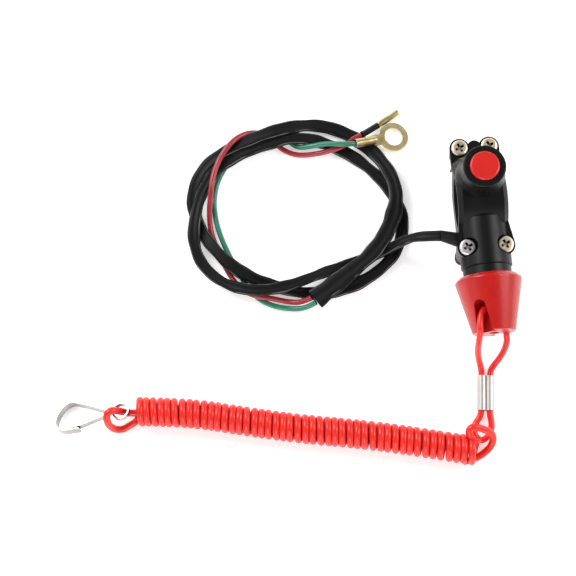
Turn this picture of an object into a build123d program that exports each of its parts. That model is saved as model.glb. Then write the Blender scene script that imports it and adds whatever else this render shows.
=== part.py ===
from build123d import *
import math
import os

# Engine kill switch with lanyard, in millimetres.
# The origin is the centre of the handlebar bore. X runs along the handlebar,
# Y runs up the switch, away from the lanyard, and Z comes out of the red button.

os.makedirs("parts", exist_ok=True)

# Handlebar clamp
BAR_D = 22.2
BORE_R = BAR_D / 2
SADDLE_WALL = 2.3
SADDLE_EDGE = 1.6
REAR_WALL = 3.4
FRONT_HALF_WIDTH = 8.5
REAR_HALF_WIDTH = 6.6
SPLIT_GAP = 1.0
PAD_HALF_LENGTH = 7.0
PAD_Z = -(BORE_R + REAR_WALL)
SADDLE_R = BORE_R + SADDLE_WALL
REAR_SWELL = 0.7
REAR_R = BORE_R + REAR_WALL + REAR_SWELL
UPPER_SPLIT_Z = SPLIT_GAP / 2

# Clamp screws and their ears
SCREW_D = 3.0
SCREW_CLEARANCE = 0.2
HEAD_D = 5.8
HEAD_H = 2.1
HEAD_ROUND = 0.9
HEAD_POCKET_CLEARANCE = 0.2
THREAD_CLEARANCE = 0.05
EAR_WALL = 1.8
EAR_R = SCREW_D / 2 + SCREW_CLEARANCE + EAR_WALL
EAR_ROOT_R = EAR_R / 2
EAR_SINK = 1.0
UPPER_EAR_DRAFT = 0.55
LOWER_EAR_DRAFT = 0.9
REAR_EAR_R = 2.8
REAR_EAR_DRAFT = 0.3
SCREW_REACH = 6.65
UPPER_SCREW = (5.1, BORE_R + SCREW_REACH)
LOWER_SCREW = (6.35, -BORE_R - SCREW_REACH)
UPPER_SEAT_Z = 5.0
LOWER_SEAT_Z = 7.0
UPPER_RIM_H = 1.0
LOWER_RIM_H = 0.5
UPPER_REAR_EAR_H = 3.5
LOWER_REAR_EAR_H = 3.0
WEB_DROP = 1.0
WEB_RISE = 1.65
BUMP_R = 2.4
BUMP_H = 0.5

# Barrel that holds the lanyard contact
BARREL_R = 8.7
BARREL_Z = 3.0
BARREL_TOP_Y = -7.9
BARREL_END_Y = -24.5
CAVITY_R = 4.2
CAVITY_Y = -12.6
LOWER_SPLIT_Z = BARREL_Z - BARREL_R
LOWER_BLOCK_Y = -BORE_R

# Button boss and button
BUTTON_Y = 5.9
BUTTON_D = 10.0
BUTTON_CLEARANCE = 0.2
BUTTON_TRAVEL = 2.5
BOSS_WALL = 2.0
BOSS_R = BUTTON_D / 2 + BUTTON_CLEARANCE + BOSS_WALL
FLOOR_WALL = 1.9
BOSS_DEPTH = 10.0
FLOOR_Z = BORE_R + FLOOR_WALL
BOSS_TOP_Z = FLOOR_Z + BOSS_DEPTH
BOSS_ROUND = 0.5
SKIRT_DROP = 6.0
SKIRT_H = 4.5
SKIRT_SPREAD = 1.2
SKIRT_TOP_Z = BOSS_TOP_Z - SKIRT_DROP
SKIRT_EDGE_Z = SKIRT_TOP_Z - SKIRT_H
SKIRT_FOOT_Z = 6.0
SHOULDER_TOP = (6.6, 7.0)
SHOULDER_FOOT = (FRONT_HALF_WIDTH, BOSS_R + SKIRT_SPREAD)
SHOULDER_CORNER = 3.0
LIP_H = 2.0
LIP_GAP = 0.05
BUTTON_CHAMBER_R = 6.0
BUTTON_PROUD = 1.0
BUTTON_ROUND = 0.8
FLANGE_H = 1.15
FLANGE_CLEARANCE = 0.3
FLANGE_R = BUTTON_CHAMBER_R - FLANGE_CLEARANCE
STEM_R = 1.9
CONTACT_R = 2.7
CONTACT_T = 0.4
CARRIER_T = 1.2
PIN_R = 0.7
PIN_X = 1.6
PIN_PROUD = 0.15
PIN_FIT = 0.05
BUTTON_SPRING_R = 3.3
BUTTON_SPRING_WIRE = 0.6
SPRING_SEAT_WALL = 1.7
SPRING_ROOM = 0.2

# Inner wires
WIRE_CHANNEL_X = 3.0
INNER_WIRE_D = 0.7
INNER_WIRE_STEP = 0.8
CHANNEL_WIDTH = 1.8
CHANNEL_DEPTH = 1.4
CHANNEL_HOLE_R = 0.9
FLOOR_HOLE_Y = BUTTON_Y - 3.5
WIRE_DROP = (0.15, 0.5)
WIRE_SETTLE = (0.3, 0.05)
TAIL_LENGTH = 2.1

# Spigot, plunger and their contacts
SPIGOT_R = 8.2
SPIGOT_LENGTH = 10.0
ROOT_CLEARANCE = 0.1
ROOT_START_Y = -16.8
SPRING_BORE_R = 3.5
SHOULDER_Y = -27.1
PLUNGER_BORE_R = 2.8
NOSE_HOLE_R = 2.1
NOSE_WALL = 1.0
PLUNGER_TRAVEL = 3.0
PLUNGER_FIT = 0.2
FLANGE_BACK_Y = -22.6
PLUNGER_FLANGE_T = 1.2
NOSE_TIP_Y = -33.0
NOSE_LENGTH = 2.7
PLUNGER_STEM_R = 0.8
PLUNGER_STEM_END_Y = -18.0
PLUG_T = 1.2
PLUG_FIT = 0.2
DISC_R = 1.85
DISC_T = 0.4
TAG_X = 2.25
TAG_T = 0.5
TAG_WIDTH = 1.0
TAG_TAIL = 1.0
TAG_HOOK = 0.95
TAG_REST_GAP = 0.1
PLUNGER_SPRING_R = 3.0
PLUNGER_SPRING_WIRE = 0.5

# Release cap
CAP_RIM_Y = -27.5
CAP_LENGTH = 19.3
CAP_RIM_R = 11.4
CAP_FOOT_R = 7.3
CAP_SHOULDER = 1.5
CAP_BORE_CLEARANCE = 0.3
CAP_FLOOR_GAP = 0.5
CAP_POST_GAP = 0.3
CAP_POST_R = 1.8
CAP_EDGE_ROUND = 0.6
SLOT_ANGLE = 34.0
SLOT_TOP_R = 2.1
SLOT_FOOT_WIDTH = 6.3
SLOT_FLOOR = 3.5
SLOT_WALL = 1.4
CORD_HOLE_R = 1.35
FOOT_HOLE_R = 1.6
FOOT_HOLE_DEPTH = 5.0
CAP_FOOT_Y = CAP_RIM_Y - CAP_LENGTH

# Cords
SHEATH_R = 1.5
LEAD_WIRE_R = 0.95
SLEEVE_R = 1.15
TETHER_R = 1.1
COIL_CORD_R = 1.25
EYE_CORD_R = 1.15
COIL_R = 5.2
ARC_SHARE = 0.45

# Ferrule on the tether
FERRULE_TOP = (-2.1, -58.85, -12.9)
FERRULE_FOOT = (-3.45, -70.95, -12.9)
FERRULE_LOBE_R = 1.6
FERRULE_LOBE_OFFSET = 1.3
FERRULE_HOLE_R = 1.25

# Cable boot and cable hole
CABLE_HOLE_R = 1.7
CABLE_Y = -13.9
BOOT_BASE_X = -8.4
BOOT_RADII = (2.6, 3.0)
BOOT_SEAT_ROOM = 0.15
BOOT_ROOT_R = 1.6
BOOT_TIP_R = 1.9
BOOT_ROOT_END_X = -4.6

# Ring terminal and bullet terminal
RING_CENTRE = (-25.35, 29.8, -12.75)
RING_HEADING = 10.1
RING_PITCH = 12.0
RING_R = 5.35
RING_HOLE_D = 6.6
STRIP_T = 0.8
TONGUE_WIDTH = 4.0
CRIMP_START = -14.8
CRIMP_LENGTH = 7.0
CRIMP_R = 1.6
CRIMP_BORE_R = 1.05
CRIMP_RISE = 0.8
BULLET_START = (-30.4, 34.8, -12.8)
BULLET_END = (-22.8, 39.0, -13.0)
BULLET_RADII = (1.15, 1.3)
BULLET_BORE_R = 0.8
BULLET_BORE_DEPTH = 3.0

# Snap hook
HOOK_ORIGIN = (-150.3, -61.5, -12.0)
HOOK_PITCH = 12.0
HOOK_ROLL = 20.0
HOOK_STRIP = (3.2, 0.6)
HOOK_EYE_CENTRE = (22.7, 0.0)
HOOK_EYE_R = 3.05
HOOK_EYE_T = 0.55
HOOK_EYE_WIDTH = 1.8
GATE_STRIP = (2.4, 0.5)
GATE_PIVOT = (17.6, -1.0)

# Routes of the cords, chosen by hand
SHEATH_POINTS = [
    (-14.5, -12.3, 5.0), (-19.5, -11.7, 4.0), (-23.5, -11.1, 1.0), (-27.0, -10.9, -4.0),
    (-30.5, -11.5, -9.4), (-35.0, -13.0, -12.6), (-42.5, -14.6, -13.0), (-51.5, -17.0, -12.3),
    (-60.5, -20.2, -9.8), (-70.0, -22.9, -9.2), (-80.5, -23.3, -8.6), (-91.0, -19.0, -10.6),
    (-98.0, -11.0, -10.9), (-99.6, -2.0, -9.4), (-97.8, 7.0, -9.2), (-95.0, 15.0, -10.5),
    (-89.5, 22.5, -10.6), (-80.5, 27.6, -10.5), (-69.5, 30.4, -10.4), (-59.0, 32.0, -10.6),
    (-49.0, 29.2, -13.0), (-39.5, 23.2, -12.9), (-31.5, 15.0, -13.0), (-26.0, 5.5, -12.9),
    (-25.0, -4.5, -13.0), (-29.0, -13.5, -12.9), (-37.5, -20.5, -13.0), (-48.0, -24.5, -12.9),
    (-58.5, -25.5, -13.0), (-68.5, -22.8, -12.9), (-78.0, -19.2, -12.0), (-86.5, -13.8, -10.3),
    (-93.0, -6.0, -10.8), (-97.5, 2.5, -13.0), (-99.0, 12.0, -12.6), (-96.0, 21.0, -10.6),
    (-88.0, 28.0, -10.4), (-77.5, 31.7, -9.5), (-66.0, 34.8, -8.8), (-54.5, 36.8, -11.9),
    (-44.0, 34.0, -13.0), (-34.5, 27.0, -13.0), (-28.5, 17.5, -11.2), (-26.3, 7.5, -9.3),
    (-29.5, -3.0, -8.9), (-36.0, -12.5, -8.6), (-46.5, -19.8, -9.2), (-58.7, -27.8, -9.5)]
GREEN_POINTS = [
    (-58.5, -28.9, -9.5), (-62.0, -30.3, -11.2), (-67.0, -29.8, -13.4), (-73.0, -28.4, -13.4),
    (-78.3, -25.4, -13.4), (-82.0, -20.5, -13.4), (-84.8, -14.8, -13.4), (-87.4, -8.8, -13.4),
    (-89.8, -2.3, -13.4), (-91.3, 4.5, -13.4), (-91.5, 11.5, -13.4), (-89.8, 18.5, -13.4),
    (-85.7, 24.8, -13.4), (-80.5, 30.5, -13.4), (-75.0, 35.2, -13.4), (-68.5, 35.8, -13.4),
    (-63.8, 32.5, -13.4), (-60.3, 28.7, -13.0), (-55.5, 28.0, -10.4), (-49.5, 28.2, -8.9),
    (-44.0, 26.9, -7.4), (-39.78, 27.23, -8.82)]
RED_POINTS = [
    (-59.9, -27.1, -9.5), (-63.3, -28.2, -11.2), (-68.0, -27.2, -13.2), (-73.5, -25.6, -12.4),
    (-79.0, -24.8, -10.9), (-84.0, -21.8, -12.2), (-87.3, -16.8, -13.4), (-89.8, -11.2, -13.4),
    (-91.8, -5.3, -13.4), (-93.4, 1.0, -13.0), (-93.2, 7.5, -11.0), (-92.0, 13.5, -7.8),
    (-90.8, 19.5, -7.5), (-88.0, 25.5, -7.5), (-83.5, 31.0, -7.2), (-78.8, 34.4, -9.4),
    (-73.8, 35.2, -11.2), (-69.2, 32.8, -12.6), (-66.0, 28.8, -13.4), (-60.8, 26.0, -13.4),
    (-54.5, 25.6, -12.6), (-48.5, 25.9, -10.9), (-42.5, 27.4, -10.0), (-39.8, 29.8, -10.35),
    (-37.0, 30.7, -10.45)]
SLEEVE_POINTS = [(-36.8, 30.85, -10.5), (-33.7, 32.6, -11.7), (-30.6, 34.6, -12.75)]
TETHER_POINTS = [
    (-4.07, -64.8, -12.9), (-3.27, -57.6, -12.9), (-3.9, -55.4, -10.9), (-4.8, -53.4, -6.9),
    (-5.5, -51.5, -2.2), (-5.6, -49.3, 4.4), (-5.4, -46.6, 8.4), (-5.2, -43.3, 8.4),
    (-4.2, -40.2, 7.9), (-2.6, -38.75, 6.7), (-1.0, -38.6, 4.5), (1.05, -38.55, 1.5),
    (2.7, -38.75, -0.7), (4.2, -40.4, -1.8), (4.8, -43.2, -1.9), (4.9, -46.4, -1.9),
    (5.2, -49.0, -4.2), (4.5, -51.4, -8.0), (3.0, -53.6, -11.1), (1.0, -55.6, -12.7),
    (-0.66, -57.8, -12.9), (-2.28, -72.2, -12.9), (-1.85, -75.0, -13.2), (-2.2, -77.7, -13.3),
    (-3.6, -80.0, -13.3), (-5.9, -81.2, -13.3), (-7.6, -79.9, -13.3), (-8.4, -77.6, -13.3),
    (-7.6, -75.2, -13.3), (-5.9, -73.4, -13.2), (-4.85, -71.2, -12.9), (-4.105, -65.1, -12.9)]
COIL_POINTS = [
    (-123.2, -61.7, -9.3), (-105.5, -63.4, -9.3), (-87.7, -67.8, -9.3), (-67.8, -72.3, -9.3),
    (-50.3, -75.3, -9.3), (-34.2, -78.6, -9.3), (-13.5, -83.7, -9.3)]
LAST_TURN_POINTS = [
    (-9.8, -81.2, -7.2), (-11.1, -79.3, -5.6), (-11.0, -77.9, -4.7), (-9.9, -77.0, -4.3),
    (-7.9, -77.3, -4.7), (-6.0, -78.0, -5.8), (-3.9, -78.7, -7.5), (-2.4, -80.0, -9.4),
    (-2.4, -81.8, -11.1), (-3.3, -83.5, -12.3), (-4.9, -84.9, -12.9), (-7.0, -86.2, -13.2),
    (-9.1, -87.0, -13.2), (-10.9, -87.5, -13.1), (-12.8, -87.7, -12.6)]
EYE_POINTS = [
    (-124.2, -64.8, -12.1), (-126.1, -65.9, -12.9), (-128.4, -67.0, -13.2), (-131.0, -66.9, -12.4),
    (-132.6, -65.8, -9.4), (-132.9, -64.4, -6.0), (-132.7, -62.4, -4.4), (-131.4, -61.3, -4.4),
    (-129.8, -61.2, -5.6), (-128.2, -61.4, -7.8), (-126.8, -61.6, -10.0), (-125.0, -61.9, -10.8),
    (-123.35, -62.0, -10.9)]
HOOK_OUTLINE = [
    (19.9, 0.0), (17.0, 0.8), (13.0, 2.4), (9.0, 3.9), (5.4, 5.1), (3.2, 4.5), (1.4, 2.7),
    (0.1, 0.2), (-0.4, -2.4), (0.5, -4.6), (3.0, -5.4), (8.4, -5.2)]
GATE_OUTLINE = [(18.6, -0.75), (16.0, -1.55), (8.6, -4.0), (4.6, -4.6)]


def turn_angle(before, corner, after):
    """Angle in radians by which a route turns at a corner."""
    arriving = Vector(*corner) - Vector(*before)
    leaving = Vector(*after) - Vector(*corner)
    return math.radians(arriving.get_angle(leaving))


def arc_radii(points):
    """Largest radius that the two runs beside each corner of a route allow."""
    radii = []
    for before, corner, after in zip(points, points[1:], points[2:]):
        shorter = min(math.dist(before, corner), math.dist(corner, after))
        radii.append(ARC_SHARE * shorter / math.tan(turn_angle(before, corner, after) / 2))
    return radii


def cord_tube(name, points, radius):
    """A round tube along straight runs that tangent arcs join."""
    radii = arc_radii(points)
    with BuildPart() as tube:
        with BuildLine() as route:
            FilletPolyline(*points, radius=radii)
        heading = Vector(*points[1]) - Vector(*points[0])
        with BuildSketch(Plane(origin=points[0], z_dir=heading)):
            Circle(radius)
        sweep(path=route.wires()[0])
    length = route.wires()[0].length
    ideal = math.pi * radius**2 * length
    print(f"{name}: length {length:.1f}, smallest radius {min(radii):.1f},",
          f"volume {tube.part.volume:.1f} of {ideal:.1f}")
    return finish(tube, name)


def finish(builder, name):
    """Label a finished piece and write it."""
    builder.part.label = name
    export_step(builder.part, f"parts/{name}.step")
    return builder.part


def across_y(y):
    """Plane across the barrel at a height on Y, facing down the switch, centred on the barrel."""
    return Plane(origin=(0, y, BARREL_Z), x_dir=(1, 0, 0), z_dir=(0, -1, 0))


def across_x(x, y, z):
    """Plane across the handlebar, facing right, with its own X along Y."""
    return Plane(origin=(x, y, z), x_dir=(0, 1, 0), z_dir=(1, 0, 0))


def mirrored(place):
    """The left and right places of a pair."""
    return [(-place[0], place[1]), place]


# Front housing
HEAD_POCKET_R = HEAD_D / 2 + HEAD_POCKET_CLEARANCE
SCREW_HOLE_R = SCREW_D / 2 + SCREW_CLEARANCE
WELL_TOP = 40.0
with BuildPart() as front_housing:
    with BuildSketch(Plane.XZ):
        Polygon((-FRONT_HALF_WIDTH, 0), (-FRONT_HALF_WIDTH, SADDLE_R - SADDLE_EDGE),
                (SADDLE_EDGE - FRONT_HALF_WIDTH, SADDLE_R), (FRONT_HALF_WIDTH - SADDLE_EDGE, SADDLE_R),
                (FRONT_HALF_WIDTH, SADDLE_R - SADDLE_EDGE), (FRONT_HALF_WIDTH, 0), align=None)
    revolve(axis=Axis.X)
    for screw, root_y, split, top, draft in (
            (UPPER_SCREW, SADDLE_R / 2, UPPER_SPLIT_Z, UPPER_SEAT_Z + UPPER_RIM_H, UPPER_EAR_DRAFT),
            (LOWER_SCREW, EAR_SINK - BORE_R, LOWER_SPLIT_Z, LOWER_SEAT_Z + LOWER_RIM_H, LOWER_EAR_DRAFT)):
        for ear, root in zip(mirrored(screw), mirrored((FRONT_HALF_WIDTH - EAR_ROOT_R, root_y))):
            for height, inset in ((top, 0), (split, draft)):
                with BuildSketch(Plane.XY.offset(height)) as ear_plan:
                    with Locations(ear):
                        Circle(EAR_R - inset)
                    with Locations(root):
                        Circle(EAR_ROOT_R - inset)
                    make_hull(ear_plan.sketch_local.edges())
            loft()
    with BuildSketch(Plane.XY.offset(UPPER_SPLIT_Z)):
        with Locations((0, SADDLE_R / 2)):
            Rectangle(2 * UPPER_SCREW[0], UPPER_SCREW[1] + WEB_RISE - SADDLE_R / 2,
                      align=(Align.CENTER, Align.MIN))
    extrude(amount=UPPER_SEAT_Z - WEB_DROP - UPPER_SPLIT_Z)
    with BuildSketch(Plane.XY.offset(UPPER_SPLIT_Z)):
        with Locations((0, UPPER_SCREW[1])):
            Circle(BUMP_R)
    extrude(amount=UPPER_SEAT_Z + UPPER_RIM_H + BUMP_H - UPPER_SPLIT_Z)
    with BuildSketch(across_y(BARREL_TOP_Y)):
        Circle(BARREL_R)
    extrude(amount=BARREL_TOP_Y - BARREL_END_Y)
    fillet(front_housing.faces().sort_by(Axis.Y)[0].edges(), BOSS_ROUND)
    with BuildSketch(Plane.XZ.offset(-BUTTON_Y)):
        Polygon((0, SKIRT_FOOT_Z), (BOSS_R + SKIRT_SPREAD, SKIRT_FOOT_Z),
                (BOSS_R + SKIRT_SPREAD, SKIRT_EDGE_Z), (BOSS_R, SKIRT_TOP_Z), (BOSS_R, BOSS_TOP_Z),
                (0, BOSS_TOP_Z), align=None)
    revolve(axis=Axis((0, BUTTON_Y, 0), (0, 0, 1)))
    for height, half_sizes in ((SKIRT_EDGE_Z, SHOULDER_TOP), (SKIRT_FOOT_Z, SHOULDER_FOOT)):
        with BuildSketch(Plane.XY.offset(height)):
            with Locations((0, BUTTON_Y)):
                RectangleRounded(2 * half_sizes[0], 2 * half_sizes[1], SHOULDER_CORNER)
    loft()
    with BuildSketch(Plane.XY.offset(SKIRT_FOOT_Z)):
        with Locations((0, BUTTON_Y)):
            RectangleRounded(2 * SHOULDER_FOOT[0], 2 * SHOULDER_FOOT[1], SHOULDER_CORNER)
    extrude(amount=-SKIRT_FOOT_Z / 2)
    fillet(front_housing.faces().sort_by(Axis.Z)[-1].edges(), BOSS_ROUND)
    with Locations((0, 0, 0)):
        Cylinder(BORE_R, 4 * FRONT_HALF_WIDTH, rotation=(0, 90, 0), mode=Mode.SUBTRACT)
    with Locations((0, LOWER_BLOCK_Y, UPPER_SPLIT_Z)):
        Box(4 * FRONT_HALF_WIDTH, 4 * BORE_R, 3 * BORE_R, mode=Mode.SUBTRACT,
            align=(Align.CENTER, Align.MIN, Align.MAX))
    with Locations((0, 0, LOWER_SPLIT_Z)):
        Box(4 * FRONT_HALF_WIDTH, 8 * BORE_R, 3 * BORE_R, mode=Mode.SUBTRACT,
            align=(Align.CENTER, Align.CENTER, Align.MAX))
    with BuildSketch(Plane.XY.offset(FLOOR_Z)):
        with Locations((0, BUTTON_Y)):
            Circle(BUTTON_CHAMBER_R)
    extrude(amount=BOSS_TOP_Z - LIP_H - FLOOR_Z, mode=Mode.SUBTRACT)
    with BuildSketch(Plane.XY.offset(FLOOR_Z)):
        with Locations((0, BUTTON_Y)):
            Circle(BUTTON_D / 2 + BUTTON_CLEARANCE)
    extrude(amount=WELL_TOP, mode=Mode.SUBTRACT)
    with BuildSketch(across_y(CAVITY_Y)):
        Circle(CAVITY_R)
    extrude(amount=CAVITY_Y - BARREL_END_Y, mode=Mode.SUBTRACT)
    with BuildSketch(Plane.XY):
        with Locations((-WIRE_CHANNEL_X, FLOOR_HOLE_Y)):
            Circle(CHANNEL_HOLE_R)
    extrude(amount=FLOOR_Z, mode=Mode.SUBTRACT)
    with BuildSketch(across_y(0)):
        with Locations((-WIRE_CHANNEL_X, 0)):
            Circle(CHANNEL_HOLE_R)
    extrude(amount=CHANNEL_DEPTH - CAVITY_Y, mode=Mode.SUBTRACT)
    with BuildSketch(across_x(-WIRE_CHANNEL_X, 0, 0)):
        with BuildLine():
            Polyline((FLOOR_HOLE_Y, BARREL_Z), (FLOOR_HOLE_Y, WELL_TOP), (-WELL_TOP, WELL_TOP),
                     (-WELL_TOP, BARREL_Z), close=True)
        make_face()
        Circle(BORE_R + CHANNEL_DEPTH, mode=Mode.INTERSECT)
    extrude(amount=CHANNEL_WIDTH / 2, both=True, mode=Mode.SUBTRACT)
    with BuildSketch(across_x(BOOT_BASE_X, CABLE_Y, BARREL_Z)):
        Ellipse(BOOT_RADII[0] + BOOT_SEAT_ROOM, BOOT_RADII[1] + BOOT_SEAT_ROOM)
    extrude(amount=-WELL_TOP, mode=Mode.SUBTRACT)
    with BuildSketch(across_x(0, CABLE_Y, BARREL_Z)):
        Circle(CABLE_HOLE_R)
    extrude(amount=-WELL_TOP, mode=Mode.SUBTRACT)
    for screw, seat in ((UPPER_SCREW, UPPER_SEAT_Z), (LOWER_SCREW, LOWER_SEAT_Z)):
        with BuildSketch(Plane.XY.offset(seat)):
            with Locations(*mirrored(screw)):
                Circle(HEAD_POCKET_R)
        extrude(amount=WELL_TOP, mode=Mode.SUBTRACT)
        with BuildSketch(Plane.XY.offset(-WELL_TOP / 2)):
            with Locations(*mirrored(screw)):
                Circle(SCREW_HOLE_R)
        extrude(amount=WELL_TOP, mode=Mode.SUBTRACT)
finish(front_housing, "front_housing")

# Rear clamp
REAR_ROOT_R = REAR_EAR_R / 2
REAR_LOWER_Z = LOWER_SPLIT_Z - SPLIT_GAP / 2
with BuildPart() as rear_clamp:
    with BuildSketch(Plane.YZ):
        Circle(REAR_R)
        with Locations((0, PAD_Z)):
            Rectangle(2 * PAD_HALF_LENGTH, REAR_WALL, align=(Align.CENTER, Align.MIN))
        with Locations((0, PAD_Z)):
            Rectangle(4 * REAR_R, REAR_R, align=(Align.CENTER, Align.MAX), mode=Mode.SUBTRACT)
        with Locations((0, -UPPER_SPLIT_Z)):
            Rectangle(4 * REAR_R, 2 * REAR_R, align=(Align.CENTER, Align.MIN), mode=Mode.SUBTRACT)
    extrude(amount=REAR_HALF_WIDTH, both=True)
    for screw, top, height in ((UPPER_SCREW, -UPPER_SPLIT_Z, UPPER_REAR_EAR_H),
                               (LOWER_SCREW, REAR_LOWER_Z, LOWER_REAR_EAR_H)):
        inner_y = math.copysign(BORE_R - EAR_SINK, screw[1])
        for ear, root in zip(mirrored(screw), mirrored((REAR_HALF_WIDTH - REAR_ROOT_R, inner_y))):
            for level, inset in ((top, 0), (top - height, REAR_EAR_DRAFT)):
                with BuildSketch(Plane.XY.offset(level)) as ear_plan:
                    with Locations(ear):
                        Circle(REAR_EAR_R - inset)
                    with Locations(root):
                        Circle(REAR_ROOT_R - inset)
                    make_hull(ear_plan.sketch_local.edges())
            loft()
    with Locations((0, 0, REAR_LOWER_Z)):
        Box(4 * REAR_R, 4 * REAR_R, 2 * REAR_R, mode=Mode.SUBTRACT,
            align=(Align.CENTER, Align.MAX, Align.MIN))
    with Locations((0, 0, 0)):
        Cylinder(BORE_R, 4 * FRONT_HALF_WIDTH, rotation=(0, 90, 0), mode=Mode.SUBTRACT)
    with BuildSketch(Plane.XY.offset(-WELL_TOP / 2)):
        with Locations(*mirrored(UPPER_SCREW), *mirrored(LOWER_SCREW)):
            Circle(SCREW_D / 2 + THREAD_CLEARANCE)
    extrude(amount=WELL_TOP, mode=Mode.SUBTRACT)
finish(rear_clamp, "rear_clamp")


# Clamp screws: three gold and one silver
UPPER_FOOT = -UPPER_SPLIT_Z - UPPER_REAR_EAR_H
LOWER_FOOT = REAR_LOWER_Z - LOWER_REAR_EAR_H
TIP_SETBACK = 0.2
RECESS_LENGTH = 3.2
RECESS_WIDTH = 0.9
RECESS_DEPTH = 1.2
RECESS_TURN = 25
GOLD_SCREWS = [((-UPPER_SCREW[0], UPPER_SCREW[1]), UPPER_SEAT_Z), (UPPER_SCREW, UPPER_SEAT_Z),
               (LOWER_SCREW, LOWER_SEAT_Z)]
SILVER_SCREWS = [((-LOWER_SCREW[0], LOWER_SCREW[1]), LOWER_SEAT_Z)]


def foot_of(place):
    """Height of the rear clamp's foot under a screw."""
    return UPPER_FOOT if place[1] > 0 else LOWER_FOOT


def pan_screws(name, places):
    """Pan-head screws with cross recesses, as one group of solids."""
    with BuildPart() as screws:
        for place, seat in places:
            with BuildSketch(Plane.XY.offset(seat)):
                with Locations(place):
                    Circle(HEAD_D / 2)
            extrude(amount=HEAD_H)
            rim = screws.edges().filter_by(GeomType.CIRCLE).filter_by_position(
                Axis.Z, seat + HEAD_H, seat + HEAD_H)
            fillet(rim, HEAD_ROUND)
            with BuildSketch(Plane.XY.offset(seat + HEAD_H)):
                with Locations(place):
                    Rectangle(RECESS_LENGTH, RECESS_WIDTH, rotation=RECESS_TURN)
                    Rectangle(RECESS_WIDTH, RECESS_LENGTH, rotation=RECESS_TURN)
            extrude(amount=-RECESS_DEPTH, mode=Mode.SUBTRACT)
            tip = foot_of(place) + TIP_SETBACK
            with BuildSketch(Plane.XY.offset(tip)):
                with Locations(place):
                    Circle(SCREW_D / 2)
            extrude(amount=seat - tip)
    return finish(screws, name)


pan_screws("clamp_screws", GOLD_SCREWS)
pan_screws("clamp_screw_silver", SILVER_SCREWS)

# Button, its contact disc, spring, contact carrier and terminals
BUTTON_TOP_Z = BOSS_TOP_Z + BUTTON_PROUD
FLANGE_TOP_Z = BOSS_TOP_Z - LIP_H - LIP_GAP
CARRIER_TOP_Z = FLOOR_Z + CARRIER_T
PIN_TOP_Z = CARRIER_TOP_Z + PIN_PROUD
CONTACT_Z = PIN_TOP_Z + BUTTON_TRAVEL + LIP_GAP
SPRING_SEAT_Z = BUTTON_TOP_Z - SPRING_SEAT_WALL
SPRING_SEAT_R = BUTTON_SPRING_R + BUTTON_SPRING_WIRE / 2 + SPRING_ROOM
with BuildPart() as stop_button:
    with BuildSketch(Plane.XZ.offset(-BUTTON_Y)):
        Polygon((0, CONTACT_Z + CONTACT_T), (STEM_R, CONTACT_Z + CONTACT_T), (STEM_R, SPRING_SEAT_Z),
                (SPRING_SEAT_R, SPRING_SEAT_Z), (SPRING_SEAT_R, FLANGE_TOP_Z - FLANGE_H),
                (FLANGE_R, FLANGE_TOP_Z - FLANGE_H), (FLANGE_R, FLANGE_TOP_Z),
                (BUTTON_D / 2, FLANGE_TOP_Z), (BUTTON_D / 2, BUTTON_TOP_Z), (0, BUTTON_TOP_Z),
                align=None)
    revolve(axis=Axis((0, BUTTON_Y, 0), (0, 0, 1)))
    fillet(stop_button.faces().sort_by(Axis.Z)[-1].edges(), BUTTON_ROUND)
finish(stop_button, "stop_button")

with BuildPart() as button_contact:
    with BuildSketch(Plane.XY.offset(CONTACT_Z)):
        with Locations((0, BUTTON_Y)):
            Circle(CONTACT_R)
    extrude(amount=CONTACT_T)
finish(button_contact, "button_contact")

with BuildPart() as contact_carrier:
    with BuildSketch(Plane.XY.offset(FLOOR_Z)):
        with Locations((0, BUTTON_Y)):
            Circle(BUTTON_CHAMBER_R - PLUG_FIT)
        with Locations((-PIN_X, BUTTON_Y), (PIN_X, BUTTON_Y)):
            Circle(PIN_R + PIN_FIT, mode=Mode.SUBTRACT)
        with Locations((-WIRE_CHANNEL_X, FLOOR_HOLE_Y)):
            Circle(CHANNEL_HOLE_R, mode=Mode.SUBTRACT)
    extrude(amount=CARRIER_T)
finish(contact_carrier, "contact_carrier")

with BuildPart() as button_terminals:
    with BuildSketch(Plane.XY.offset(FLOOR_Z)):
        with Locations((-PIN_X, BUTTON_Y), (PIN_X, BUTTON_Y)):
            Circle(PIN_R)
    extrude(amount=PIN_TOP_Z - FLOOR_Z)
finish(button_terminals, "button_terminals")


def coil_spring(base, heading, radius, wire, length, turns):
    """A compression spring of round wire, standing on a base point along a heading."""
    start = Vector(*base) + Vector(*heading) * wire
    with BuildPart() as spring:
        with BuildLine():
            turning = Helix(pitch=(length - 2 * wire) / turns, height=length - 2 * wire,
                            radius=radius, center=start, direction=heading)
        with BuildSketch(Plane(origin=turning @ 0, z_dir=turning % 0)):
            Circle(wire / 2)
        sweep()
    return spring


BUTTON_SPRING_TURNS = 5
button_spring = coil_spring((0, BUTTON_Y, CARRIER_TOP_Z), (0, 0, 1), BUTTON_SPRING_R,
                            BUTTON_SPRING_WIRE, SPRING_SEAT_Z - CARRIER_TOP_Z, BUTTON_SPRING_TURNS)
finish(button_spring, "button_spring")

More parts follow.
